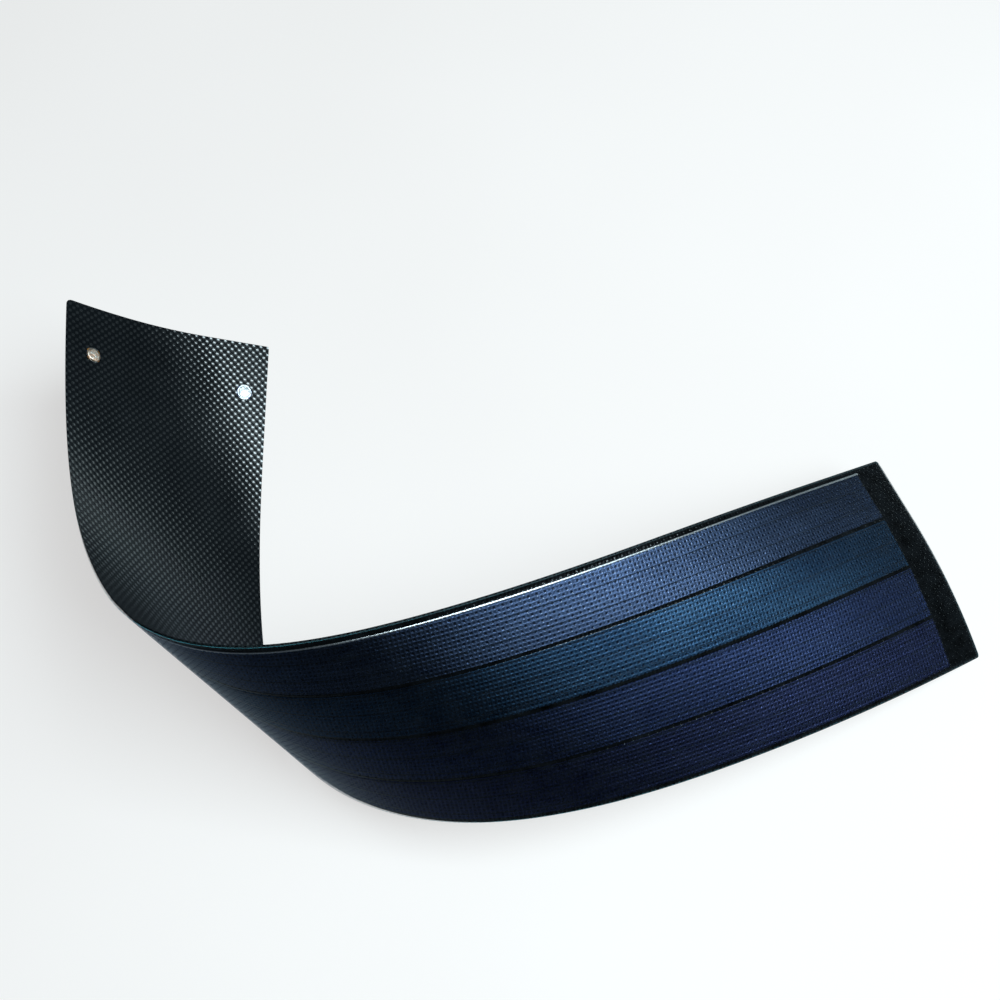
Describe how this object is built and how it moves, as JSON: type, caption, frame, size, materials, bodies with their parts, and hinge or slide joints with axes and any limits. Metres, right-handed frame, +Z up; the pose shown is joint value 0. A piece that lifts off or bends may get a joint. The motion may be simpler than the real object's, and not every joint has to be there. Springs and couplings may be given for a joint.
{
  "type": "flexible solar sheet",
  "caption": "Long flexible thin-film solar laminate with lengthwise blue cells and two solder pads on its black back, curled and standing on its long edge.",
  "frame": {"origin": "middle of the standing sheet's footprint box, on the surface that it stands on", "axes": "+Z up; the sheet stands on its lower long edge; the cell face of its front leg is turned to -Y and up; the contact end is at -X"},
  "size_m": [0.3956, 0.2358, 0.1086],
  "materials": {
    "clear_film": "embossed clear film, semi-gloss",
    "encapsulant": "clear",
    "cell_1": "blue thin film on steel foil",
    "cell_2": "teal-blue thin film on steel foil",
    "cell_3": "violet-blue thin film on steel foil",
    "cell_4": "dark violet thin film on steel foil",
    "fine_wire": "dark coated wire",
    "busbar_copper": "tinned copper, satin",
    "tinned_metal": "tinned, uneven",
    "insulation": "amber film",
    "black_sheet": "embossed, semi-gloss"
  },
  "bodies": {
    "root": {"front_film": "clear_film", "front_encapsulant": "encapsulant", "cell_1": "cell_1", "collector_wire_1a": "fine_wire", "collector_wire_1b": "fine_wire", "busbar_1": "busbar_copper", "cell_2": "cell_2", "collector_wire_2a": "fine_wire", "collector_wire_2b": "fine_wire", "collector_wire_2c": "fine_wire", "busbar_2": "busbar_copper", "cell_3": "cell_3", "collector_wire_3a": "fine_wire", "collector_wire_3b": "fine_wire", "collector_wire_3c": "fine_wire", "busbar_3": "busbar_copper", "cell_4": "cell_4", "collector_wire_4a": "fine_wire", "collector_wire_4b": "fine_wire", "collector_wire_4c": "fine_wire", "busbar_4": "busbar_copper", "interconnect_1_2": "tinned_metal", "interconnect_2_3": "tinned_metal", "interconnect_3_4": "tinned_metal", "terminal_ribbon_positive": "tinned_metal", "terminal_insulation": "insulation", "terminal_ribbon_negative": "tinned_metal", "back_encapsulant": "encapsulant", "back_sheet": "black_sheet", "contact_pad_positive": "busbar_copper", "contact_pad_negative": "busbar_copper", "solder_positive": "tinned_metal", "solder_negative": "tinned_metal"}
  },
  "joints": []
}
